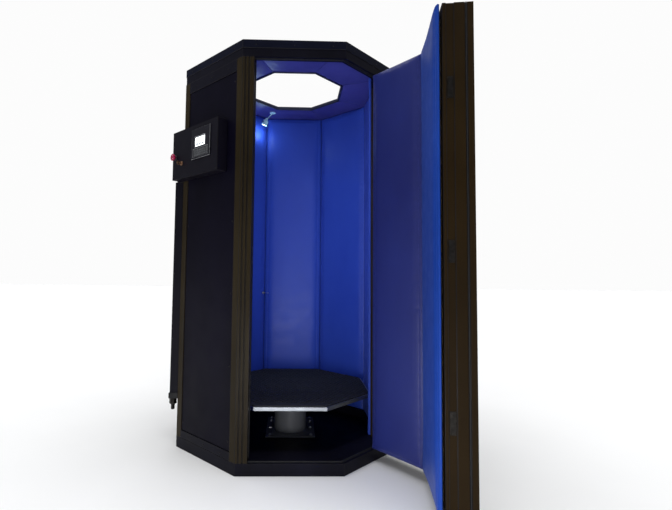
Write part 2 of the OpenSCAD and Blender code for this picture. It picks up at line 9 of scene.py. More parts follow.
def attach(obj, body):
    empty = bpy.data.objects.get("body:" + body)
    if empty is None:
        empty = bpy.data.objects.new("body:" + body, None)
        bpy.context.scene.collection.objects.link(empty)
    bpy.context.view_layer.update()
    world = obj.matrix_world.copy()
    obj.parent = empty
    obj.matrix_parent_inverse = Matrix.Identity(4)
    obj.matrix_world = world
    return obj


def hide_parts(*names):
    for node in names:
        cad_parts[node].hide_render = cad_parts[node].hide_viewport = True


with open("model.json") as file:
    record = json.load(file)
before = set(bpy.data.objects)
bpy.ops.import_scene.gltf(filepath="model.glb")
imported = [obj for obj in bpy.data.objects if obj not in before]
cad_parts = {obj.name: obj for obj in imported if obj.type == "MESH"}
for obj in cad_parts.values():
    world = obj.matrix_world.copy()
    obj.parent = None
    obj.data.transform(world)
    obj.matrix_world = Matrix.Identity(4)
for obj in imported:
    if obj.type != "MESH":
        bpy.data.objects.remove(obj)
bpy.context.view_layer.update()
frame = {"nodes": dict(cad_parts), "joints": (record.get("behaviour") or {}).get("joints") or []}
NODES = frame["nodes"]
SCENE = bpy.context.scene

# ---- Places, in metres, as the CAD has them ----

APOTHEM = 0.650
MITRE = math.tan(math.radians(22.5))
HALF = APOTHEM * MITRE
FRONT, FRONT_RIGHT, RIGHT, REAR_RIGHT, REAR, REAR_LEFT, LEFT, FRONT_LEFT = range(8)
PANELS = {"right": RIGHT, "rear_right": REAR_RIGHT, "rear": REAR,
          "rear_left": REAR_LEFT, "left": LEFT, "front_left": FRONT_LEFT}
WALL_FACE = 0.158
WALL_BACK = 0.131
DOOR_FACE = 0.155
DOOR_BACK = 0.128
JAMB_X = -HALF + 0.062
CLOSING_X = JAMB_X + 0.006
HINGE_X = HALF - 0.140
CEILING_Z = 2.190
HEADER_Z = 2.109
BASE_Z = 0.060
LEAF_Z = (0.066, 2.103)
BOX_Y = -0.060
HINGE_AT = Vector(next(j["pos_m"] for j in frame["joints"] if j["name"] == "door_hinge"))
DOOR_OPEN = math.radians(82)


def on_facet(k):
    """The frame of a wall facet: X along it, Y inwards from its outer face."""
    return Matrix.Rotation(math.radians(45 * k), 4, "Z") @ Matrix.Translation((0, -APOTHEM, 0))


def on_door(k):
    """The frame of a door facet, as the open door carries it."""
    return (Matrix.Translation(HINGE_AT) @ Matrix.Rotation(DOOR_OPEN, 4, "Z")
            @ Matrix.Translation(-HINGE_AT) @ on_facet(k))


def half_at(depth, gap=0.0):
    """Half the length of a facet at a depth below its outer face."""
    return HALF - depth * MITRE - gap


def spun(at, degrees):
    """A frame turned about its own Z axis."""
    return at @ Matrix.Rotation(math.radians(degrees), 4, "Z")


def circle(count):
    """The angles of points evenly spaced round a circle."""
    return [2 * math.pi * n / count for n in range(count)]


def add_object(name, data):
    """Makes an object and puts it in the scene."""
    made = bpy.data.objects.new(name, data)
    SCENE.collection.objects.link(made)
    return made


def to_mesh(name, bm):
    """Turns a finished bmesh into a mesh."""
    mesh = bpy.data.meshes.new(name)
    bm.to_mesh(mesh)
    bm.free()
    return mesh


# Turn the Z axis of a turned shape to point out of a facet, or into it
OUTWARDS = Matrix.Rotation(math.radians(90), 4, "X")
INWARDS = Matrix.Rotation(math.radians(-90), 4, "X")

# ---- Materials ----


class Graph:
    """A node graph around one Principled shader."""

    def __init__(self, name, **sockets):
        self.material = bpy.data.materials.new(name)
        self.material.use_nodes = True
        self.tree = self.material.node_tree
        self.tree.nodes.clear()
        out = self.tree.nodes.new("ShaderNodeOutputMaterial")
        self.shader = self.tree.nodes.new("ShaderNodeBsdfPrincipled")
        self.tree.links.new(self.shader.outputs[0], out.inputs[0])
        self.coords = self.tree.nodes.new("ShaderNodeTexCoord").outputs["Object"]
        for socket, value in sockets.items():
            self.shader.inputs[socket.replace("_", " ")].default_value = value

    def add(self, kind, inputs, **settings):
        node = self.tree.nodes.new("ShaderNode" + kind)
        for key, value in settings.items():
            setattr(node, key, value)
        for key, value in inputs.items():
            if isinstance(value, bpy.types.NodeSocket):
                self.tree.links.new(value, node.inputs[key])
            else:
                node.inputs[key].default_value = value
        return node

    def stretched(self, scale):
        return self.add("Mapping", {"Vector": self.coords, "Scale": scale}).outputs[0]

    def noise(self, scale, detail, stretch=(1, 1, 1), roughness=0.55):
        return self.add("TexNoise", {"Vector": self.stretched(stretch), "Scale": scale,
                                     "Detail": detail, "Roughness": roughness}).outputs["Fac"]

    def pebbles(self, scale):
        return self.add("TexVoronoi", {"Vector": self.coords, "Scale": scale},
                        feature="SMOOTH_F1").outputs["Distance"]

    def ramp(self, factor, stops):
        node = self.add("ValToRGB", {"Fac": factor})
        elements = node.color_ramp.elements
        while len(elements) < len(stops):
            elements.new(0.5)
        for element, (place, colour) in zip(elements, stops):
            element.position = place
            element.color = (*colour, 1) if isinstance(colour, tuple) else (colour,) * 3 + (1,)
        return node.outputs["Color"]

    def mix(self, factor, a, b):
        node = self.add("Mix", {0: factor}, data_type="RGBA")
        for socket, value in ((node.inputs[6], a), (node.inputs[7], b)):
            if isinstance(value, bpy.types.NodeSocket):
                self.tree.links.new(value, socket)
            else:
                socket.default_value = (*value, 1)
        return node.outputs[2]

    def times(self, a, b):
        return self.add("Math", {0: a, 1: b}, operation="MULTIPLY").outputs[0]

    def bump(self, height, distance, under=None):
        inputs = {"Height": height, "Distance": distance, "Strength": 1.0}
        if under is not None:
            inputs["Normal"] = under
        return self.add("Bump", inputs).outputs[0]

    def set(self, socket, value):
        self.tree.links.new(value, self.shader.inputs[socket])


def coated(name, dark, light, specular, scuff, rough=(0.38, 0.5), grain=700.0):
    """Powder-coated sheet: orange-peel grain, cloudy tone, and fine rubbed marks."""
    g = Graph(name, Specular_IOR_Level=specular)
    cloudy = g.ramp(g.noise(3.0, 5, (1, 1, 0.45)), [(0.32, dark), (0.68, light)])
    marks = g.ramp(g.noise(38.0, 6, (1, 1, 0.12), 0.7), [(0.62, 0.0), (0.74, 0.6)])
    marks = g.times(marks, g.ramp(g.noise(2.1, 2), [(0.5, 0.0), (0.72, 1.0)]))
    g.set("Base Color", g.mix(marks, cloudy, scuff))
    g.set("Roughness", g.ramp(g.noise(9.0, 4), [(0.3, rough[0]), (0.7, rough[1])]))
    peel = g.bump(g.noise(grain, 2), 0.00005)
    g.set("Normal", g.bump(g.noise(4.0, 2, (1, 1, 0.5)), 0.0016, peel))
    return g.material


def vinyl(name, dark, light, specular=0.4, fold=0.0012):
    """Synthetic leather: pebbled grain over soft unevenness, with a faint sheen."""
    g = Graph(name, Specular_IOR_Level=specular, Sheen_Weight=0.02, Sheen_Roughness=0.4)
    g.set("Base Color", g.ramp(g.noise(2.2, 5, (1, 1, 0.5)), [(0.3, dark), (0.7, light)]))
    g.set("Roughness", g.ramp(g.noise(14.0, 4), [(0.3, 0.34), (0.7, 0.46)]))
    grain = g.bump(g.pebbles(520.0), 0.00012)
    creases = g.bump(g.noise(160.0, 5, roughness=0.7), 0.00008, grain)
    g.set("Normal", g.bump(g.noise(5.0, 2, (1, 1, 0.35)), fold, creases))
    return g.material


def metal(name, dark, light, rough=(0.22, 0.36), stretch=(1, 1, 0.02), scale=260.0):
    """Brushed or cast metal, with its marks drawn out along one direction."""
    g = Graph(name, Metallic=1.0)
    streaks = g.noise(scale, 4, stretch)
    g.set("Base Color", g.ramp(streaks, [(0.3, dark), (0.7, light)]))
    g.set("Roughness", g.ramp(g.noise(22.0, 5), [(0.3, rough[0]), (0.7, rough[1])]))
    g.set("Normal", g.bump(streaks, 0.00003))
    return g.material


def moulded(name, dark, light, rough=(0.4, 0.55), specular=0.4, grain=1400.0):
    """Moulded plastic or rubber with a fine spark-eroded grain."""
    g = Graph(name, Specular_IOR_Level=specular)
    g.set("Base Color", g.ramp(g.noise(30.0, 3), [(0.3, dark), (0.7, light)]))
    g.set("Roughness", g.ramp(g.noise(60.0, 3), [(0.3, rough[0]), (0.7, rough[1])]))
    g.set("Normal", g.bump(g.noise(grain, 2), 0.00004))
    return g.material


def lit(name, dark, light, strength, scale=40.0):
    """A surface that gives off light, a little uneven."""
    g = Graph(name, Roughness=0.25, Emission_Strength=strength)
    glow = g.ramp(g.noise(scale, 2), [(0.3, dark), (0.7, light)])
    g.set("Base Color", glow)
    g.set("Emission Color", glow)
    return g.material


PANEL = coated("panel_coat", (0.0020, 0.0016, 0.0050), (0.0036, 0.0030, 0.0100),
               specular=0.05, scuff=(0.010, 0.009, 0.015))
POST = coated("post_coat", (0.0138, 0.0094, 0.0036), (0.0268, 0.0190, 0.0078),
              specular=0.08, scuff=(0.034, 0.026, 0.014))
PROFILE = coated("edge_profile_coat", (0.0120, 0.0066, 0.0018), (0.0220, 0.0125, 0.0036),
                 specular=0.07, scuff=(0.030, 0.022, 0.012))
HEADER = coated("header_coat", (0.0030, 0.0028, 0.0058), (0.0058, 0.0056, 0.0125),
                specular=0.07, scuff=(0.014, 0.013, 0.018))
EDGE = coated("rubbed_edge", (0.005, 0.0045, 0.006), (0.013, 0.012, 0.014),
              specular=0.18, scuff=(0.035, 0.033, 0.034), rough=(0.34, 0.48))
ROOF = coated("roof_coat", (0.0028, 0.0036, 0.0105), (0.0048, 0.0062, 0.0180),
              specular=0.07, scuff=(0.016, 0.020, 0.034))
BOX = coated("box_coat", (0.0024, 0.0020, 0.0050), (0.0046, 0.0040, 0.0092),
             specular=0.12, scuff=(0.014, 0.014, 0.018), grain=1100.0)
LIFT = coated("lift_paint", (0.085, 0.090, 0.100), (0.140, 0.145, 0.160), specular=0.3,
              scuff=(0.20, 0.20, 0.21))
PAD = vinyl("wall_vinyl", (0.020, 0.050, 0.37), (0.032, 0.074, 0.46), specular=0.20)
PAD_FRONT = vinyl("door_front_vinyl", (0.007, 0.040, 0.27), (0.012, 0.056, 0.35),
                  specular=0.12)
PAD_SIDE = vinyl("door_side_vinyl", (0.013, 0.018, 0.125), (0.020, 0.030, 0.180),
                 specular=0.25)
CEILING = vinyl("ceiling_vinyl", (0.034, 0.034, 0.21), (0.050, 0.050, 0.28), specular=0.25)
THREAD = vinyl("thread", (0.05, 0.07, 0.42), (0.09, 0.11, 0.55), fold=0.0)
RUBBER = moulded("rubber", (0.006, 0.006, 0.007), (0.011, 0.011, 0.013), (0.5, 0.7), 0.3)
MAT = moulded("mat_rubber", (0.010, 0.011, 0.014), (0.018, 0.019, 0.024), (0.55, 0.75), 0.3)
TRIM = moulded("trim_rubber", (0.010, 0.012, 0.034), (0.017, 0.020, 0.05), (0.35, 0.5), 0.4)
PLASTIC = moulded("dark_plastic", (0.012, 0.012, 0.014), (0.022, 0.022, 0.026))
RED = moulded("red_plastic", (0.30, 0.003, 0.045), (0.42, 0.006, 0.075), (0.16, 0.26), 0.5)
KEYS = moulded("keypad_film", (0.055, 0.058, 0.064), (0.10, 0.105, 0.115), (0.35, 0.5))
FOAM = moulded("foam", (0.45, 0.34, 0.15), (0.58, 0.46, 0.24), (0.8, 0.95), 0.1, 300.0)
STEEL = metal("brushed_steel", (0.40, 0.41, 0.43), (0.58, 0.59, 0.61))
BEZEL = metal("bezel_face", (0.030, 0.030, 0.042), (0.055, 0.054, 0.072), (0.3, 0.42),
              (0.02, 0.02, 1))
TUBE = metal("tube_aluminium", (0.42, 0.43, 0.45), (0.58, 0.59, 0.62), (0.24, 0.36))
DECK = metal("deck_aluminium", (0.26, 0.28, 0.31), (0.38, 0.40, 0.43), (0.34, 0.5),
             (0.02, 1, 1))
BLACK_METAL = metal("blackened_metal", (0.016, 0.015, 0.014), (0.038, 0.035, 0.033),
                    (0.3, 0.45), (1, 1, 1), 60.0)
BRONZE = metal("key_bronze", (0.20, 0.11, 0.06), (0.34, 0.20, 0.12), (0.3, 0.45))
WHITE = moulded("white_enamel", (0.60, 0.63, 0.66), (0.74, 0.77, 0.80), (0.2, 0.3), 0.5)
ENAMEL = moulded("lamp_enamel", (0.40, 0.66, 0.78), (0.54, 0.80, 0.90), (0.2, 0.3), 0.5)
SCREEN = lit("screen_light", (0.80, 0.90, 1.0), (1.0, 1.0, 1.0), 2.4, 22.0)
TILE = moulded("screen_tile", (0.45, 0.50, 0.55), (0.62, 0.66, 0.70), (0.3, 0.4))
LENS = lit("lens_light", (0.45, 0.85, 1.0), (0.80, 0.97, 1.0), 6.0)

# ---- Camera, floor and light ----


def make_camera():
    data = bpy.data.cameras.new("camera")
    data.lens = 23.87
    data.sensor_width = 36.0
    data.shift_x = 0.0457
    data.shift_y = -0.0125
    data.clip_end = 200.0
    camera = add_object("camera", data)
    camera.location = (0.0092, -2.8943, 0.9904)
    camera.rotation_euler = [math.radians(a) for a in (93.489, -0.643, -1.474)]
    SCENE.camera = camera


def area_light(name, place, target, size, power, colour=(1, 1, 1)):
    data = bpy.data.lights.new(name, "AREA")
    data.shape = "RECTANGLE"
    data.size, data.size_y = size
    data.energy = power
    data.color = colour
    light = add_object(name, data)
    light.location = place
    aim = Vector(target) - Vector(place)
    light.rotation_euler = aim.to_track_quat("-Z", "Y").to_euler()


def make_sky_light():
    """An even, very soft light from straight above."""
    data = bpy.data.lights.new("sky", "SUN")
    data.energy = 2.35
    data.angle = math.radians(70)
    add_object("sky", data).location = (0, 0, 6)


def make_lamp_glow():
    """The light that the lamp at rest throws on the walls; it doesn't follow the lamp's tilt."""
    data = bpy.data.lights.new("lamp_glow", "POINT")
    data.energy = 0.55
    data.color = (0.62, 0.86, 1.0)
    data.shadow_soft_size = 0.04
    add_object("lamp_glow", data).location = (-0.235, 0.395, 2.035)


def make_world():
    """A bright backdrop, and a softer light that comes mostly from above."""
    world = bpy.data.worlds.new("studio")
    SCENE.world = world
    world.use_nodes = True
    tree = world.node_tree
    nodes = tree.nodes
    link = tree.links.new
    nodes.clear()
    out = nodes.new("ShaderNodeOutputWorld")
    choose = nodes.new("ShaderNodeMixShader")
    backdrop = nodes.new("ShaderNodeBackground")
    backdrop.inputs[0].default_value = (0.975, 0.975, 0.975, 1)
    soft = nodes.new("ShaderNodeBackground")
    split = nodes.new("ShaderNodeSeparateXYZ")
    fade = nodes.new("ShaderNodeValToRGB")
    low, high = fade.color_ramp.elements
    low.position = 0.08
    low.color = (0.16, 0.16, 0.17, 1)
    high.position = 0.95
    high.color = (0.52, 0.53, 0.55, 1)
    link(nodes.new("ShaderNodeTexCoord").outputs["Generated"], split.inputs[0])
    link(split.outputs["Z"], fade.inputs[0])
    link(fade.outputs[0], soft.inputs[0])
    link(nodes.new("ShaderNodeLightPath").outputs["Is Camera Ray"], choose.inputs[0])
    link(soft.outputs[0], choose.inputs[1])
    link(backdrop.outputs[0], choose.inputs[2])
    link(choose.outputs[0], out.inputs[0])


def make_floor():
    bm = bmesh.new()
    bmesh.ops.create_grid(bm, x_segments=24, y_segments=24, size=30)
    mesh = to_mesh("studio_floor", bm)
    g = Graph("floor_paint", Specular_IOR_Level=0.1)
    g.set("Base Color", g.ramp(g.noise(0.8, 3), [(0.3, (0.895, 0.895, 0.89)),
                                                 (0.7, (0.925, 0.925, 0.92))]))
    g.set("Roughness", g.ramp(g.noise(3.0, 3), [(0.3, 0.7), (0.7, 0.85)]))
    mesh.materials.append(g.material)
    floor = add_object("studio_floor", mesh)
    floor.location.z = -0.001


SCENE.view_settings.view_transform = "Standard"
make_camera()
make_world()
make_floor()
make_sky_light()
area_light("fill_left", (-4.5, -3.5, 2.6), (-0.4, 0, 1.1), (0.5, 3.2), 5)
area_light("inside", (0.05, -0.42, 1.25), (-0.02, 0.6, 1.45), (0.5, 1.5), 3.4, (0.80, 0.90, 1.0))
area_light("fill_low", (-0.20, -2.3, 0.20), (0, 0, 0.15), (0.6, 0.2), 12)
make_lamp_glow()

# ---- Mesh helpers ----


def ring(bm, at, radius, z, segments, hexagonal):
    """A ring of points round the Z axis of a frame, round or on a hexagon's sides."""
    side = 2 * math.pi / 6
    points = []
    for a in circle(segments):
        r = radius / math.cos((a % side) - side / 2) if hexagonal else radius
        points.append(bm.verts.new(at @ Vector((r * math.cos(a), r * math.sin(a), z))))
    return points


def lathe(bm, at, profile, segments, hexagon_from=None):
    """Turns (radius, height) points about the Z axis of a frame. From the point numbered
    hexagon_from on, the section is a hexagon, as in a nut or a screw's socket."""
    rings = []
    for i, (radius, z) in enumerate(profile):
        hexagonal = hexagon_from is not None and i >= hexagon_from
        if radius == 0:
            rings.append([bm.verts.new(at @ Vector((0, 0, z)))])
        else:
            rings.append(ring(bm, at, radius, z, segments, hexagonal))
    for a, b in zip(rings, rings[1:]):
        for i in range(segments):
            j = (i + 1) % segments
            corners = [a[i % len(a)], a[j % len(a)], b[j % len(b)], b[i % len(b)]]
            bm.faces.new([v for n, v in enumerate(corners) if v not in corners[:n]])


def rod(bm, points, radius, segments, closed=False, slot=0):
    """A round wire through points."""
    points = [Vector(p) for p in points]
    count = len(points)
    rings = []
    side = None
    for i, p in enumerate(points):
        before = points[i - 1] if i or closed else p
        after = points[(i + 1) % count] if i < count - 1 or closed else p
        along = (after - before).normalized()
        if side is None:
            side = along.orthogonal().normalized()
        side = (side - along * side.dot(along)).normalized()
        up = along.cross(side)
        rings.append([bm.verts.new(p + radius * (side * math.cos(a) + up * math.sin(a)))
                      for a in circle(segments)])
    pairs = list(zip(rings, rings[1:])) + ([(rings[-1], rings[0])] if closed else [])
    for a, b in pairs:
        for n in range(segments):
            m = (n + 1) % segments
            face = bm.faces.new([a[n], a[m], b[m], b[n]])
            face.material_index = slot
    if not closed:
        bm.faces.new(list(reversed(rings[0]))).material_index = slot
        bm.faces.new(rings[-1]).material_index = slot


def prism(bm, at, outline, z0, z1, slot=0):
    """An outline in XY, drawn up between two heights."""
    low = [bm.verts.new(at @ Vector((x, y, z0))) for x, y in outline]
    high = [bm.verts.new(at @ Vector((x, y, z1))) for x, y in outline]
    faces = [bm.faces.new(list(reversed(low))), bm.faces.new(high)]
    for i in range(len(outline)):
        j = (i + 1) % len(outline)
        faces.append(bm.faces.new([low[i], low[j], high[j], high[i]]))
    for face in faces:
        face.material_index = slot


def round_edges(bm, edges, radius, segments, clamp=False):
    bmesh.ops.bevel(bm, geom=edges, offset=radius, segments=segments, profile=0.6,
                    affect="EDGES", clamp_overlap=clamp)


def add_part(bm, part, at):
    """Adds a finished part to a mesh, placed in a frame."""
    part.transform(at)
    mesh = to_mesh("part", part)
    bm.from_mesh(mesh)
    bpy.data.meshes.remove(mesh)


def block(bm, at, low, high, soften, slot=0):
    """A block with its edges rounded by an amount."""
    part = bmesh.new()
    (x0, y0, z0), (x1, y1, z1) = low, high
    prism(part, Matrix.Identity(4), [(x0, y0), (x1, y0), (x1, y1), (x0, y1)], z0, z1)
    round_edges(part, part.edges[:], soften, 3, clamp=True)
    for face in part.faces:
        face.material_index = slot
    add_part(bm, part, at)


def piece(name, bm, body, materials, replaces=()):
    """Makes the object, puts it on its body and names its finish."""
    bmesh.ops.recalc_face_normals(bm, faces=bm.faces[:])
    mesh = to_mesh(name, bm)
    for material in materials if isinstance(materials, list) else [materials]:
        mesh.materials.append(material)
    mesh.shade_smooth()
    mesh.set_sharp_from_angle(angle=math.radians(38))
    made = add_object(name, mesh)
    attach(made, body)
    if replaces:
        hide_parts(*replaces)


def screw(bm, at, r=0.004):
    """A button-head screw of radius r with a hexagon socket, its head rising along Z."""
    lathe(bm, at, [(r, -0.0004), (r, 0.0004), (0.92 * r, 0.28 * r), (0.74 * r, 0.42 * r),
                   (0.5 * r, 0.5 * r), (0.40 * r, 0.5 * r), (0.38 * r, 0.47 * r),
                   (0.38 * r, 0.15 * r), (0, 0.1 * r)], 24, hexagon_from=6)


def face_screw(bm, at, place, radius=0.004):
    """A screw at a place in a facet's frame, its head pointing out of the facet."""
    screw(bm, at @ Matrix.Translation(place) @ OUTWARDS, radius)


# ---- CAD nodes that stay: softened edges and their finishes ----


def dress(material, *names, soften, edge=None):
    """Gives CAD nodes a finish, with small rounded edges in a rubbed finish of their own."""
    for name in names:
        node = NODES[name]
        node.data.materials.clear()
        node.data.materials.append(material)
        if edge is not None:
            node.data.materials.append(edge)
        # Merges the thin triangles of flat sheets, which would shade in streaks
        weld = node.modifiers.new("weld", "WELD")
        weld.merge_threshold = 0.00001
        flats = node.modifiers.new("flats", "DECIMATE")
        flats.decimate_type = "DISSOLVE"
        flats.angle_limit = math.radians(0.3)
        if soften:
            bevel = node.modifiers.new("soften", "BEVEL")
            bevel.width = soften
            bevel.segments = 2
            bevel.limit_method = "ANGLE"
            bevel.angle_limit = math.radians(35)
            bevel.use_clamp_overlap = True
            bevel.material = 1 if edge is not None else -1
            node.modifiers.new("normals", "WEIGHTED_NORMAL")


dress(POST, "corner_posts", "jamb_post", "hinge_post", "door_frame", soften=0.0015, edge=EDGE)
dress(PROFILE, "door_closing_profile", soften=0.0015, edge=EDGE)
dress(HEADER, "base_pan", "top_ring", "panel_rails", soften=0.0015, edge=EDGE)
dress(ROOF, "roof_cap", soften=0.002, edge=EDGE)
dress(PANEL, *("outer_panel_" + n for n in PANELS), "door_skin_front", "door_skin_side",
      soften=0.0016)
dress(BOX, "control_box", "control_cover", "service_duct", soften=0.0015, edge=EDGE)
dress(TRIM, "opening_trim", soften=0.002)
dress(FOAM, "wall_insulation", "door_insulation", soften=0)
dress(STEEL, "strike_plates", "door_pull", "vapour_outlet", "hinge_pins", soften=0.0006)
dress(BLACK_METAL, "latch_magnets", "hinge_frame_leaves", "hinge_door_leaves", soften=0.0006)
dress(BEZEL, "display_bezel", soften=0.0012, edge=STEEL)
dress(ENAMEL, "lamp_bracket", soften=0.0005)
dress(PLASTIC, "fan_housing", "fan_impeller", soften=0.0006)
dress(LIFT, "lift_base", "lift_outer_tube", soften=0.0012)
dress(TUBE, "lift_stage_1", "lift_stage_2", "platform_tube", soften=0.0008)
dress(DECK, "lift_platform", soften=0.0015)

# ---- Padded liners ----

PAD_ROLL = 0.009
PAD_REST = 0.003
PAD_CROWN = 0.007
PAD_STEP = 0.013
SEAM_AT = 0.016
SEAM_HALF = 0.0025
SEAM_LINE = 4
SEAM_SINK = 0.0014
CLOTH_FRAMES = 20
WALL_Z = (0.064, 2.186)
DOOR_PAD_Z = (LEAF_Z[0] + 0.002, LEAF_Z[1] - 0.002)
# Round holes through a pad: where along the facet, how high, and their radius
FAN_HOLE = (0.0, 0.190, 0.0622)
OUTLET_HOLE = (0.176, 0.300, 0.0125)


def stations(low, high):
    """Grid lines across a pad: close together over its rolled edges and its seam, which
    lies on line number SEAM_LINE."""
    edge = [0.0, 0.3 * PAD_ROLL, PAD_ROLL, SEAM_AT - SEAM_HALF, SEAM_AT, SEAM_AT + SEAM_HALF]
    count = max(2, round((high - low - 2 * edge[-1]) / PAD_STEP))
    step = (high - low - 2 * edge[-1]) / count
    middle = [low + edge[-1] + step * i for i in range(1, count)]
    return [low + e for e in edge] + middle + [high - e for e in reversed(edge)]


def grid_loop(nx, nz, k):
    """The places that go once round a grid, k lines in from its edge."""
    return ([(i, k) for i in range(k, nx - k)] + [(nx - 1 - k, j) for j in range(k + 1, nz - k)]
            + [(i, nz - 1 - k) for i in range(nx - 2 - k, k - 1, -1)]
            + [(k, j) for j in range(nz - 2 - k, k, -1)])


def flat_pad(name, back_y, face_y, left, right, z0, z1):
    """A pad in its facet's frame before it is filled. left and right give its ends at a depth."""
    top = face_y - PAD_REST
    xs = stations(left(top), right(top))
    zs = stations(z0, z1)
    nx, nz = len(xs), len(zs)
    drop = {0: PAD_ROLL, 1: 0.3 * PAD_ROLL}
    bm = bmesh.new()
    grid = []
    for j, z in enumerate(zs):
        row = []
        for i, x in enumerate(xs):
            down = max(drop.get(min(i, nx - 1 - i), 0), drop.get(min(j, nz - 1 - j), 0))
            row.append(bm.verts.new((x, top - down, z)))
        grid.append(row)
    for j in range(nz - 1):
        for i in range(nx - 1):
            bm.faces.new([grid[j][i], grid[j][i + 1], grid[j + 1][i + 1], grid[j + 1][i]])
    rim = grid_loop(nx, nz, 0)
    edge = [grid[j][i] for i, j in rim]

    def skirt(y):
        made = []
        for i, j in rim:
            x = left(y) + (xs[i] - xs[0]) / (xs[-1] - xs[0]) * (right(y) - left(y))
            made.append(bm.verts.new((x, y, zs[j])))
        return made

    middle, last = skirt((back_y + top) / 2), skirt(back_y)
    for a, b in ((edge, middle), (middle, last)):
        for n in range(len(rim)):
            m = (n + 1) % len(rim)
            bm.faces.new([a[n], b[n], b[m], a[m]])
    at_rim = dict(zip(rim, last))
    bm.faces.new([at_rim[i, 0] for i in range(nx)] + [at_rim[nx - 1, 1], at_rim[0, 1]])
    for j in range(1, nz - 2):
        bm.faces.new([at_rim[0, j], at_rim[nx - 1, j], at_rim[nx - 1, j + 1], at_rim[0, j + 1]])
    bm.faces.new([at_rim[0, nz - 2], at_rim[nx - 1, nz - 2]]
                 + [at_rim[i, nz - 1] for i in range(nx - 1, -1, -1)])
    bm.verts.index_update()
    pinned = [v.index for v in edge + middle + last]
    seam = [grid[j][i].index for i, j in grid_loop(nx, nz, SEAM_LINE)]
    bmesh.ops.recalc_face_normals(bm, faces=bm.faces[:])
    made = add_object(name, to_mesh(name, bm))
    return {"object": made, "pinned": pinned, "seam": seam, "top": top,
            "box": (xs[0], xs[-1], z0, z1)}


def fill_pads(pads):
    """Inflates every pad at once as cloth, then keeps the swelling below the crown."""
    for pad in pads:
        made = pad["object"]
        made.vertex_groups.new(name="pin").add(pad["pinned"], 1.0, "REPLACE")
        modifier = made.modifiers.new("cloth", "CLOTH")
        cloth = modifier.settings
        cloth.quality = 6
        cloth.mass = 0.35
        cloth.tension_stiffness = 18
        cloth.compression_stiffness = 18
        cloth.shear_stiffness = 6
        cloth.bending_stiffness = 0.6
        cloth.vertex_group_mass = "pin"
        cloth.use_pressure = True
        cloth.uniform_pressure_force = 4
        cloth.shrink_min = -0.006
        cloth.effector_weights.gravity = 0
        modifier.point_cache.frame_start = 1
        modifier.point_cache.frame_end = CLOTH_FRAMES
    for step in range(1, CLOTH_FRAMES + 1):
        SCENE.frame_set(step)
    view = bpy.context.evaluated_depsgraph_get()
    for pad in pads:
        made = pad["object"]
        rest = [v.co.copy() for v in made.data.vertices]
        shape = made.evaluated_get(view).to_mesh()
        after = [v.co.copy() for v in shape.vertices]
        for v, p, q in zip(made.data.vertices, rest, after):
            move = q - p
            if move.length > 1e-7:
                move *= PAD_CROWN * math.tanh(move.length / PAD_CROWN) / move.length
            v.co = p + move
        for n in pad["seam"]:
            made.data.vertices[n].co.y -= SEAM_SINK
        for modifier in list(made.modifiers):
            made.modifiers.remove(modifier)
    SCENE.frame_set(1)


def place_pad(pad, name, at, body, material, node, holes=()):
    """Copies a filled pad onto a facet, with any round holes cut through; a pad without holes is
    subdivided once.
    """
    mesh = pad["object"].data.copy()
    mesh.name = name
    made = add_object(name, mesh)
    made.vertex_groups.clear()
    for x, z, radius in holes:
        cutter = bmesh.new()
        start = Matrix.Translation((x, 0.1, z)) @ INWARDS
        lathe(cutter, start, [(0, 0), (radius, 0), (radius, 0.1), (0, 0.1)], 64)
        bmesh.ops.recalc_face_normals(cutter, faces=cutter.faces[:])
        tool = add_object("cutter", to_mesh("cutter", cutter))
        cut = made.modifiers.new("cut", "BOOLEAN")
        cut.operation = "DIFFERENCE"
        cut.solver = "EXACT"
        cut.object = tool
        view = bpy.context.evaluated_depsgraph_get()
        done = bpy.data.meshes.new_from_object(made.evaluated_get(view))
        made.modifiers.clear()
        made.data = done
        done.name = name
        bpy.data.objects.remove(tool)
    made.data.materials.clear()
    made.data.materials.append(material)
    made.data.shade_smooth()
    made.data.transform(at)
    if not holes:
        smooth = made.modifiers.new("smooth", "SUBSURF")
        smooth.levels = smooth.render_levels = 1
    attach(made, body)
    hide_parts(node)


def stitches(bm, pad, at):
    """Stitches along a pad's seam, each a small spindle of thread."""
    points = [pad["object"].data.vertices[n].co.copy() for n in pad["seam"]]
    points.append(points[0])
    pitch = 0.0065
    length = 0.0044
    thick = 0.0006
    raised = 0.0004
    walked = 0.0
    for a, b in zip(points, points[1:]):
        span = (b - a).length
        along = (b - a).normalized()
        out = Vector((0, 1, 0))
        side = along.cross(out)
        while walked < span:
            centre = a + along * walked + out * raised
            tips = [centre - along * length / 2, centre + along * length / 2]
            belt = [centre + side * thick, centre + out * thick,
                    centre - side * thick, centre - out * thick]
            v = [bm.verts.new(at @ p) for p in tips + belt]
            for n in range(4):
                m = (n + 1) % 4
                bm.faces.new([v[0], v[2 + n], v[2 + m]])
                bm.faces.new([v[1], v[2 + m], v[2 + n]])
            walked += pitch
        walked -= span


def wall_end(depth):
    """Where a pad ends at a mitred corner, at a depth below its facet's outer face."""
    return half_at(depth, 0.001)


def wall_start(depth):
    return -wall_end(depth)


def jamb_end(depth):
    """Where the doorway's left edge crosses a depth of the front left wall."""
    corner = on_facet(FRONT_LEFT).inverted() @ on_facet(FRONT) @ Vector((JAMB_X, 0, 0))
    return corner.x + corner.y - depth - 0.003


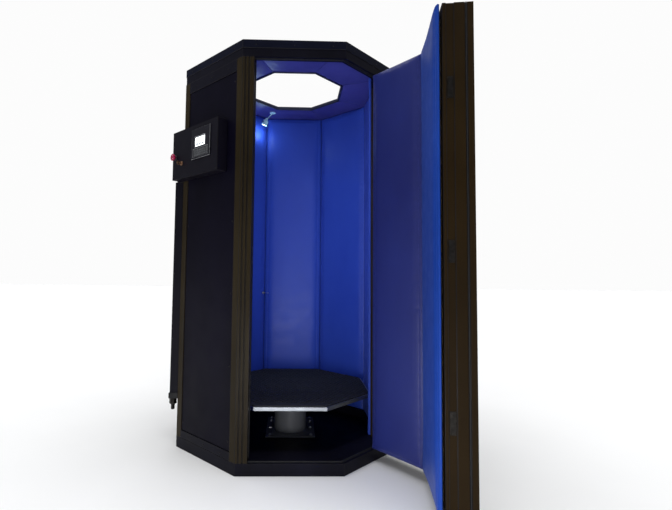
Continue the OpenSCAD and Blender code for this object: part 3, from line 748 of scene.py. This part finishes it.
regular = flat_pad("pad_regular", WALL_BACK, WALL_FACE, wall_start, wall_end, *WALL_Z)
by_jamb = flat_pad("pad_by_jamb", WALL_BACK, WALL_FACE, wall_start, jamb_end, *WALL_Z)
strip = flat_pad("pad_strip", WALL_BACK, WALL_FACE, lambda y: HINGE_X + 0.005, wall_end, *WALL_Z)
door_a = flat_pad("pad_door_front", DOOR_BACK, DOOR_FACE, lambda y: CLOSING_X + 0.002,
                  wall_end, *DOOR_PAD_Z)
door_b = flat_pad("pad_door_side", DOOR_BACK, DOOR_FACE, wall_start,
                  lambda y: HINGE_X - 0.005, *DOOR_PAD_Z)
source_pads = [regular, by_jamb, strip, door_a, door_b]
fill_pads(source_pads)

wall_thread = bmesh.new()
for panel, k in PANELS.items():
    source = by_jamb if k == FRONT_LEFT else regular
    holes = {REAR: [FAN_HOLE], LEFT: [OUTLET_HOLE]}.get(k, ())
    place_pad(source, "wall_pad_" + panel, on_facet(k), "cabin", PAD,
              "liner_" + panel, holes)
    stitches(wall_thread, source, on_facet(k))
place_pad(strip, "wall_pad_strip", on_facet(FRONT_RIGHT), "cabin", PAD, "liner_right")
stitches(wall_thread, strip, on_facet(FRONT_RIGHT))
piece("wall_stitching", wall_thread, "cabin", THREAD)

door_thread = bmesh.new()
place_pad(door_a, "door_pad_front", on_door(FRONT), "door", PAD_FRONT,
          "door_liner_front")
place_pad(door_b, "door_pad_side", on_door(FRONT_RIGHT), "door", PAD_SIDE,
          "door_liner_side")
stitches(door_thread, door_a, on_door(FRONT))
stitches(door_thread, door_b, on_door(FRONT_RIGHT))
piece("door_stitching", door_thread, "door", THREAD)
for pad in source_pads:
    bpy.data.objects.remove(pad["object"])

# ---- Ceiling lining ----

# Eight softened trapezoids from the walls to the opening, with a gap at each corner
LINING_OUT = 1.206 / 2
LINING_IN = 0.616 / 2
LINING_GAP = 0.0008
out_x = LINING_OUT * MITRE - LINING_GAP
in_x = LINING_IN * MITRE - LINING_GAP
outline = [(-out_x, APOTHEM - LINING_OUT), (out_x, APOTHEM - LINING_OUT),
           (in_x, APOTHEM - LINING_IN), (-in_x, APOTHEM - LINING_IN)]
lining = bmesh.new()
for k in range(8):
    trapezoid = bmesh.new()
    prism(trapezoid, Matrix.Identity(4), outline, CEILING_Z - 0.0022, CEILING_Z - 0.0004)
    round_edges(trapezoid, trapezoid.edges[:], 0.0006, 2)
    add_part(lining, trapezoid, on_facet(k))
piece("ceiling_lining", lining, "cabin", CEILING)

# ---- Seals round the doorway and on the door ----

SEAL_WIDTH = 0.020
SEAL_HEIGHT = 0.0034
SEAL_FOOT = 0.0009
FOOT_EDGE = 0.0015
SIDE_SEAL_Y = 0.054
END_SEAL_Y = 0.024
HINGE_SEAL_X = HINGE_X + 0.003
EDGE_BEAD = 0.0028


def bulb():
    """The outline of a bulb seal: a ribbed foot with a round bead on it."""
    half = SEAL_WIDTH / 2
    r = SEAL_HEIGHT - SEAL_FOOT
    rib = SEAL_FOOT * 1.3
    points = [(-half, 0), (-half, SEAL_FOOT), (-half + FOOT_EDGE, rib), (-r - 0.001, SEAL_FOOT)]
    points += [(-r * math.cos(a), SEAL_FOOT + r * math.sin(a))
               for a in (math.pi * n / 10 for n in range(11))]
    points += [(r + 0.001, SEAL_FOOT), (half - FOOT_EDGE, rib), (half, SEAL_FOOT), (half, 0)]
    return points


def seal_run(bm, at, start, end, up):
    """A run of the doorway's seal in a facet's frame. up is the way its bead faces."""
    start, end = at @ Vector(start), at @ Vector(end)
    up = (at.to_3x3() @ Vector(up)).normalized()
    side = up.cross((end - start).normalized())
    rows = [[bm.verts.new(p + side * x + up * y) for x, y in bulb()] for p in (start, end)]
    count = len(rows[0])
    for n in range(count):
        m = (n + 1) % count
        bm.faces.new([rows[0][n], rows[0][m], rows[1][m], rows[1][n]])
    bm.faces.new(list(reversed(rows[0])))
    bm.faces.new(rows[1])


seal = bmesh.new()
front, side = on_facet(FRONT), on_facet(FRONT_RIGHT)
corner_x = half_at(END_SEAL_Y)
for at, x, way in ((front, JAMB_X, 1), (side, HINGE_SEAL_X, -1)):
    seal_run(seal, at, (x, SIDE_SEAL_Y, LEAF_Z[0]), (x, SIDE_SEAL_Y, LEAF_Z[1]), (way, 0, 0))
for z, way in ((HEADER_Z, -1), (BASE_Z, 1)):
    seal_run(seal, front, (JAMB_X, END_SEAL_Y, z), (corner_x, END_SEAL_Y, z), (0, 0, way))
    seal_run(seal, side, (-corner_x, END_SEAL_Y, z), (HINGE_SEAL_X, END_SEAL_Y, z), (0, 0, way))
piece("doorway_seal", seal, "cabin", RUBBER, ["frame_gasket"])

seal = bmesh.new()
section = [(0.0074, 0.0272), (0.0074, 0.0328), (0.005, 0.0318), (0.0035, 0.0328),
           (0.001, 0.0315)]
section += [(0.0008 - EDGE_BEAD * math.sin(a), 0.030 + EDGE_BEAD * math.cos(a))
            for a in (math.pi * n / 8 for n in range(1, 8))]
section += [(0.001, 0.0285), (0.0035, 0.0272), (0.005, 0.0282)]
prism(seal, on_door(FRONT), [(CLOSING_X + x, y) for x, y in section],
      LEAF_Z[0] + 0.001, LEAF_Z[1] - 0.001)
piece("door_edge_seal", seal, "door", RUBBER, ["door_gasket"])

# ---- Control box fittings ----

BOX_AT = on_facet(FRONT_LEFT)
SCREEN_X, SCREEN_Z = (-0.0555, 0.0415), (1.6765, 1.7335)
SCREEN_RIM = 0.004
TILE_RIM = 0.010
TILE_WIDTH = 0.022
TILE_PITCH = 0.0275
TILE_DEPTHS = (0.0030, 0.0034)
KEYS_X, KEYS_Z = (-0.0695, 0.0715), (1.6225, 1.6675)
KEY_START = (KEYS_X[0] + 0.0048, KEYS_Z[0] + 0.0042)
KEY_PITCH = (0.0167, 0.0130)
KEY_SIZE = (0.0142, 0.0106)


def cover_block(bm, xs, zs, depths, soften, slot):
    """A block on the box cover, between two distances out from its face."""
    block(bm, BOX_AT, (xs[0], BOX_Y - depths[1], zs[0]), (xs[1], BOX_Y - depths[0], zs[1]),
          soften, slot)


glass = bmesh.new()
(x0, x1), (z0, z1) = SCREEN_X, SCREEN_Z
cover_block(glass, SCREEN_X, SCREEN_Z, (-0.0019, 0.0028), 0.0008, 0)
cover_block(glass, (x0 + SCREEN_RIM, x1 - SCREEN_RIM), (z0 + SCREEN_RIM, z1 - SCREEN_RIM),
            (0.0020, 0.0031), 0.0003, 1)
for n in range(3):
    tile_x = x0 + TILE_RIM + n * TILE_PITCH
    cover_block(glass, (tile_x, tile_x + TILE_WIDTH), (z0 + 0.009, z0 + 0.021),
                TILE_DEPTHS, 0.0001, 2)
cover_block(glass, (x0 + TILE_RIM, x1 - TILE_RIM), (z1 - 0.014, z1 - 0.009),
            TILE_DEPTHS, 0.0001, 2)
piece("screen_glass", glass, "cabin", [PLASTIC, SCREEN, TILE], ["display_screen"])

keypad = bmesh.new()
cover_block(keypad, KEYS_X, KEYS_Z, (0.0001, 0.0032), 0.0006, 0)
for row in range(3):
    for column in range(8):
        x = KEY_START[0] + column * KEY_PITCH[0]
        z = KEY_START[1] + row * KEY_PITCH[1]
        cover_block(keypad, (x, x + KEY_SIZE[0]), (z, z + KEY_SIZE[1]), (0.0030, 0.0045),
                    0.0005, 1)
piece("keypad_keys", keypad, "cabin", [PLASTIC, KEYS], ["keypad_membrane"])

# Two steps on top of the duct, and a collar round its lower end
WALL_GAP = 0.0004
boot = bmesh.new()
block(boot, on_facet(LEFT), (0.1615, -0.0462, 1.5190), (0.2335, -WALL_GAP, 1.5480), 0.004)
block(boot, on_facet(LEFT), (0.1640, -0.0435, 1.5440), (0.2310, -WALL_GAP, 1.5580), 0.005)
block(boot, on_facet(LEFT), (0.1540, -0.0560, 0.2630), (0.2580, -WALL_GAP, 0.2960), 0.005)
piece("cable_boot", boot, "cabin", RUBBER)

STOP_AT = BOX_AT @ Matrix.Translation((-0.262, BOX_Y, 1.655)) @ OUTWARDS
ARROW_RADIUS = 0.0115
ARROW_HALF = 0.0022
ARROW_SWEEP = 0.22
collar = bmesh.new()
lathe(collar, STOP_AT, [(0.00605, 0.0036), (0.0078, 0.0040), (0.0120, 0.0040), (0.0138, 0.0034),
                        (0.0150, 0.0020), (0.0150, 0.0), (0.0111, 0.0), (0.0111, -0.0200),
                        (0.0104, -0.0398), (0.00605, -0.0398), (0.00605, 0.0036)], 48)
for n in range(12):
    block(collar, spun(STOP_AT, 30 * n), (0.0146, -0.0010, 0.0003), (0.0155, 0.0010, 0.0026),
          0.0003)
piece("stop_collar_ring", collar, "cabin", PLASTIC, ["stop_collar"])

stop = bmesh.new()
lathe(stop, STOP_AT, [(0, -0.0300), (0.0060, -0.0300), (0.0060, 0.0115), (0.0150, 0.0118),
                      (0.0165, 0.0124), (0.0194, 0.0165), (0.0200, 0.0180), (0.0200, 0.0202),
                      (0.0195, 0.0218), (0.0180, 0.0232), (0.0150, 0.0243), (0.0100, 0.0249),
                      (0, 0.0250)], 64)
for n in range(24):
    grip = [spun(STOP_AT, 15 * n) @ Vector((0.0197, 0, z)) for z in (0.0178, 0.0190, 0.0204)]
    rod(stop, grip, 0.0006, 6)
# Three white arrows that say which way the head turns
for n in range(3):
    arc = [spun(STOP_AT, 120 * n + a) @ Vector((ARROW_RADIUS, 0, 0.0247))
           for a in range(10, 81, 10)]
    rod(stop, arc, 0.0006, 6, slot=1)
    tip = math.radians(120 * n + 80)
    arrow = [(ARROW_RADIUS + ARROW_HALF, tip), (ARROW_RADIUS, tip + ARROW_SWEEP),
             (ARROW_RADIUS - ARROW_HALF, tip)]
    prism(stop, STOP_AT, [(r * math.cos(a), r * math.sin(a)) for r, a in arrow],
          0.0246, 0.0252, slot=1)
piece("stop_mushroom", stop, "stop_button", [RED, WHITE], ["stop_button"])

KEY_AT = BOX_AT @ Matrix.Translation((-0.196, BOX_Y, 1.612)) @ OUTWARDS
LOOP_X = 0.0072 * 0.9
LOOP_Z = 0.0068
LOOP_CENTRE = 0.0272
LOOP_TOP = 0.0300
barrel = bmesh.new()
lathe(barrel, KEY_AT, [(0.00505, 0.0030), (0.0060, 0.0030), (0.0068, 0.0022), (0.0098, 0.0022),
                       (0.0108, 0.0030), (0.0118, 0.0030), (0.0125, 0.0022), (0.0125, 0.0),
                       (0.0095, 0.0), (0.0095, -0.0360), (0.00505, -0.0360),
                       (0.00505, 0.0030)], 48)
for n in range(36):
    block(barrel, spun(KEY_AT, 10 * n), (0.0120, -0.0006, 0.0004), (0.0128, 0.0006, 0.0019),
          0.0002)
piece("key_barrel", barrel, "cabin", BRONZE, ["key_switch_barrel"])

key = bmesh.new()
lathe(key, KEY_AT, [(0, -0.0290), (0.0050, -0.0290), (0.0050, 0.0028), (0.0042, 0.0035),
                    (0, 0.0036)], 40)
block(key, KEY_AT, (-0.0012, -0.0040, 0.0030), (0.0012, 0.0040, 0.0100), 0.0004)
bow = KEY_AT @ Matrix.Translation((0, 0, 0.0190)) @ Matrix.Rotation(math.radians(90), 4, "Y")
lathe(key, bow @ Matrix.Translation((0, 0, -0.0012)),
      [(0.0036, 0.0002), (0.0040, 0.0), (0.0100, 0.0), (0.0108, 0.0003), (0.0110, 0.0008),
       (0.0110, 0.0016), (0.0108, 0.0021), (0.0100, 0.0024), (0.0040, 0.0024),
       (0.0036, 0.0022), (0.0036, 0.0002)], 48)
# A wire loop in the key's bow, cut flat at LOOP_TOP
loop = [(LOOP_X * math.cos(a), 0.0, LOOP_CENTRE + LOOP_Z * math.sin(a)) for a in circle(24)]
rod(key, [KEY_AT @ Vector(p) for p in loop if p[2] < LOOP_TOP], 0.0006, 6)
piece("turn_key", key, "key", BRONZE, ["switch_key"])

# ---- Supply fitting, probe and lamp ----

INLET_AT = on_facet(LEFT) @ Matrix.Translation((0.226, -0.036, 0))
inlet = bmesh.new()
lathe(inlet, INLET_AT, [(0, 0.1962), (0.0085, 0.1962), (0.0098, 0.1970), (0.0110, 0.2030)]
      + [(r, 0.2030 + 0.0062 * n + dz) for n in range(3)
         for r, dz in ((0.0100, 0.0010), (0.0110, 0.0062))]
      + [(0.0110, 0.2262), (0.0140, 0.2270), (0.0140, 0.2284), (0, 0.2284)], 40)
lathe(inlet, spun(INLET_AT, 30),
      [(0, 0.2284), (0.0172, 0.2284), (0.0190, 0.2300), (0.0190, 0.2420), (0.0178, 0.2432),
       (0.0178, 0.2446), (0.0190, 0.2458), (0.0190, 0.2600), (0.0172, 0.2616),
       (0, 0.2616)], 48, hexagon_from=1)
lathe(inlet, INLET_AT, [(0.0095, 0.2614), (0.0130, 0.2614), (0.0130, 0.2619), (0.0095, 0.2619),
                        (0.0095, 0.2614)], 40)
lathe(inlet, INLET_AT, [(0, 0.2618), (0.0093, 0.2618)]
      + [(r, 0.2650 + 0.0016 * n + dz) for n in range(13)
         for r, dz in ((0.0095, 0.0), (0.0088, 0.0008))]
      + [(0.0090, 0.2868), (0, 0.2868)], 40)
piece("inlet_fitting", inlet, "cabin", BLACK_METAL, ["coolant_inlet"])

PROBE_AT = on_facet(REAR_LEFT) @ Matrix.Translation((-0.182, WALL_FACE, 0.845)) @ INWARDS
probe = bmesh.new()
lathe(probe, PROBE_AT, [(0, 0.0002), (0.0100, 0.0002), (0.0100, 0.0026), (0.0092, 0.0036),
                        (0.0062, 0.0040), (0.0058, 0.0044), (0, 0.0044)], 36)
lathe(probe, spun(PROBE_AT, 15), [(0, 0.0040), (0.0050, 0.0040), (0.0055, 0.0046),
                                  (0.0055, 0.0096), (0.0050, 0.0104), (0, 0.0104)],
      36, hexagon_from=1)
lathe(probe, PROBE_AT, [(0, 0.0100), (0.0030, 0.0100), (0.0030, 0.0592), (0.0026, 0.0608),
                        (0.0014, 0.0618), (0, 0.0620)], 24)
piece("probe_rod", probe, "cabin", STEEL, ["temperature_probe"])

SWING_AT = (Matrix.Translation((-0.207, 0.387, 2.144))
            @ Matrix.Rotation(math.atan2(0.012, -0.042), 4, "Z"))
LAMP_AT = SWING_AT @ Matrix.Rotation(math.radians(155), 4, "Y")
EAR_Y = 0.0055
shell = bmesh.new()
lathe(shell, LAMP_AT, [(0, 0.0124), (0.0120, 0.0124), (0.0150, 0.0134)]
      + [(r, 0.0150 + 0.0040 * n + dz) for n in range(4)
         for r, dz in ((0.0206, 0.0), (0.0206, 0.0022), (0.0186, 0.0024), (0.0186, 0.0038))]
      + [(0.0206, 0.0312), (0.0210, 0.0330), (0.0210, 0.0490), (0.0206, 0.0499), (0.0192, 0.0499),
         (0.0181, 0.0484), (0.0180, 0.0462), (0, 0.0462)], 56)
for ear_y in (-EAR_Y, EAR_Y):
    lathe(shell, SWING_AT @ Matrix.Translation((0, ear_y, 0)) @ OUTWARDS,
          [(0, -0.0020), (0.0066, -0.0020), (0.0070, -0.0015), (0.0070, 0.0015),
           (0.0066, 0.0020), (0, 0.0020)], 28)
    block(shell, LAMP_AT, (-0.0060, ear_y - 0.0019, 0.0010), (0.0060, ear_y + 0.0019, 0.0138),
          0.0005)
lathe(shell, SWING_AT @ OUTWARDS,
      [(0, -0.0086), (0.0030, -0.0086), (0.0036, -0.0080), (0.0036, -0.0074), (0.0025, -0.0074),
       (0.0025, 0.0074), (0.0036, 0.0074), (0.0036, 0.0080), (0.0030, 0.0086), (0, 0.0086)], 20)
piece("lamp_shell", shell, "lamp", ENAMEL, ["lamp_head"])

lens = bmesh.new()
lathe(lens, LAMP_AT, [(0, 0.0463), (0.0174, 0.0463), (0.0176, 0.0478), (0.0160, 0.0486),
                      (0.0120, 0.0490), (0.0060, 0.0492), (0, 0.0492)], 48)
piece("lamp_glass", lens, "lamp", LENS, ["lamp_lens"])

# ---- Screws ----

PANEL_X = HALF - 0.062
PANEL_Y = 0.004
RAIL_X = (-0.150, 0.0, 0.150)
RAIL_Z = (0.081, 2.076)
BAND_X = (-0.200, 0.0, 0.200)
BAND_Z = 2.172
BAND_SCREW = 0.003
LEAF_SCREW = 0.0036
BEHIND_BOX = (1.48, 1.85)
DUCT_Y = -0.050
LEAF_Y = -0.004
MAGNET_Y = 0.094
screws = bmesh.new()
door_screws = bmesh.new()
for k in PANELS.values():
    for x in (-PANEL_X, PANEL_X):
        for z in (0.150 + n * 0.3685 for n in range(6)):
            behind_box = k == FRONT_LEFT and BEHIND_BOX[0] < z < BEHIND_BOX[1]
            behind_duct = k == LEFT and x > 0
            if not behind_box and not behind_duct:
                face_screw(screws, on_facet(k), (x, PANEL_Y, z))
    for x in RAIL_X:
        for z in RAIL_Z:
            face_screw(screws, on_facet(k), (x, 0, z), 0.0035)
    for x in BAND_X:
        face_screw(screws, on_facet(k), (x, 0, BAND_Z), BAND_SCREW)
for k in (FRONT, FRONT_RIGHT):
    for x in BAND_X:
        face_screw(screws, on_facet(k), (x, 0, BAND_Z), BAND_SCREW)
for k in range(8):
    for x in (-0.210, -0.070, 0.070, 0.210):
        screw(screws, on_facet(k) @ Matrix.Translation((x, 0.034, 2.200)))
for x in (-0.283, 0.141):
    for z in (1.533, 1.797):
        face_screw(screws, BOX_AT, (x, BOX_Y, z), 0.0032)
for n in range(6):
    for x in (0.168, 0.244):
        over_inlet = n == 0 and x > 0.2
        if not over_inlet:
            face_screw(screws, on_facet(LEFT), (x, DUCT_Y, 0.290 + n * 0.238), 0.0028)
for hinge_z in (0.300, 1.085, 1.870):
    for x in (0.020, 0.056):
        for z in (hinge_z - 0.042, hinge_z, hinge_z + 0.042):
            face_screw(screws, on_facet(FRONT_RIGHT), (HINGE_X + x, LEAF_Y, z), LEAF_SCREW)
            face_screw(door_screws, on_door(FRONT_RIGHT), (HINGE_X - x, LEAF_Y, z), LEAF_SCREW)
for x, k in ((CLOSING_X + 0.060, FRONT), (PANEL_X, FRONT), (-PANEL_X, FRONT_RIGHT),
             (HINGE_X - 0.062, FRONT_RIGHT)):
    for n in range(6):
        face_screw(door_screws, on_door(k), (x, PANEL_Y, 0.160 + n * 0.3665))
for magnet_z in (0.420, 1.085, 1.750):
    for z in (magnet_z - 0.038, magnet_z + 0.038):
        at = (on_door(FRONT) @ Matrix.Translation((CLOSING_X + 0.001, MAGNET_Y, z))
              @ Matrix.Rotation(math.radians(-90), 4, "Y"))
        lathe(door_screws, at, [(0.0030, -0.0003), (0.0030, 0.0002), (0.0026, 0.0004),
                                (0.0012, 0.0004), (0.0010, 0.0001), (0, 0.0)], 20)
piece("cabin_screws", screws, "cabin", BLACK_METAL)
piece("door_screws", door_screws, "door", BLACK_METAL)

# ---- Exhaust guards, lift wipers and platform mat ----

FAN_Z = FAN_HOLE[1]
GUARD_REACH = 0.0594
FLANGE_SCREWS = 0.0735
guards = bmesh.new()
for depth in (-0.0575, 0.1560):
    at = on_facet(REAR) @ Matrix.Translation((0, depth, FAN_Z)) @ INWARDS
    for n in range(1, 6):
        radius = GUARD_REACH * n / 5 - 0.0012
        loop = [at @ Vector((radius * math.cos(a), radius * math.sin(a), 0)) for a in circle(48)]
        rod(guards, loop, 0.0011, 8, closed=True)
    for a in (math.radians(60 * n + 30) for n in range(3)):
        tip = Vector((GUARD_REACH * math.cos(a), GUARD_REACH * math.sin(a), 0.0018))
        rod(guards, [at @ (tip * s) for s in (-1, -0.33, 0.33, 1)], 0.0013, 8)
flange = on_facet(REAR) @ Matrix.Translation((0, 0, FAN_Z)) @ OUTWARDS
for a in (math.radians(45 * n + 22.5) for n in range(8)):
    place = (FLANGE_SCREWS * math.cos(a), FLANGE_SCREWS * math.sin(a), 0)
    screw(guards, flange @ Matrix.Translation(place), 0.0038)
piece("fan_guards", guards, "cabin", STEEL)

# Lip rings pressed onto the tops of the lift tubes
for name, body, outer, top in (("wiper_fixed", "cabin", 0.100, 0.230),
                               ("wiper_1", "lift_stage_1", 0.093, 0.240),
                               ("wiper_2", "lift_stage_2", 0.086, 0.250)):
    wiper = bmesh.new()
    bore = outer - 0.0066
    lathe(wiper, Matrix.Identity(4),
          [(outer - 0.0056, top - 0.006), (outer + 0.0004, top - 0.006), (outer + 0.0010, top),
           (outer + 0.0004, top + 0.003), (bore + 0.0030, top + 0.0046), (bore, top + 0.0058),
           (bore, top + 0.0040), (bore + 0.0010, top - 0.001), (outer - 0.0056, top - 0.006)], 96)
    piece(name, wiper, body, RUBBER)

lift_bolts = bmesh.new()
for x in (-0.125, 0.125):
    for y in (-0.125, 0.0, 0.125, 0.190):
        at = Matrix.Translation((x, y, 0.015))
        lathe(lift_bolts, at, [(0, 0), (0.0100, 0.0), (0.0100, 0.0014), (0.0088, 0.0016),
                               (0, 0.0016)], 30)
        lathe(lift_bolts, at, [(0, 0.0016), (0.0070, 0.0016), (0.0070, 0.0070), (0.0060, 0.0078),
                               (0, 0.0078)], 30, hexagon_from=1)
piece("lift_bolts", lift_bolts, "cabin", STEEL)

MOTOR_AT = Matrix.Translation((0, 0.153, 0))
motor = bmesh.new()
lathe(motor, MOTOR_AT, [(0, 0.1546), (0.0440, 0.1546), (0.0452, 0.1560), (0.0452, 0.1700),
                        (0.0430, 0.1760), (0.0300, 0.1790), (0.0290, 0.1776), (0.0150, 0.1786),
                        (0, 0.1790)], 64)
for n in range(24):
    block(motor, spun(MOTOR_AT, 15 * n), (0.0446, -0.0010, 0.0300), (0.0480, 0.0010, 0.1440),
          0.0005)
piece("motor_cowl", motor, "cabin", LIFT)

MAT_LOW = 0.2800
MAT_TOP = 0.2900
MAT_HALF = 0.466
STUD_PITCH = 0.0265
STUD_HEIGHT = 0.0036
STUD_MARGIN = 0.014
studs = bmesh.new()
corner = MAT_HALF / math.cos(math.radians(22.5))
outline = [(corner * math.cos(a), corner * math.sin(a))
           for a in (math.radians(45 * n + 22.5) for n in range(8))]
prism(studs, Matrix.Identity(4), outline, MAT_LOW, MAT_TOP - 0.0035)
top_edges = [e for e in studs.edges if all(v.co.z > 0.285 for v in e.verts)]
round_edges(studs, top_edges, 0.002, 2)
reach = int(MAT_HALF / STUD_PITCH) + 1
for i in range(-reach, reach + 1):
    for j in range(-reach, reach + 1):
        x = (i + 0.5 * (j % 2)) * STUD_PITCH
        y = j * STUD_PITCH * 0.866
        across = max(x * math.cos(a) + y * math.sin(a)
                     for a in (math.radians(45 * n) for n in range(8)))
        if across < MAT_HALF - STUD_MARGIN:
            at = Matrix.Translation((x, y, MAT_TOP - STUD_HEIGHT))
            lathe(studs, at, [(0.0092, 0), (0.0086, 0.0026), (0.0074, STUD_HEIGHT),
                              (0, STUD_HEIGHT)], 12)
piece("studded_mat", studs, "platform", MAT, ["platform_mat"])
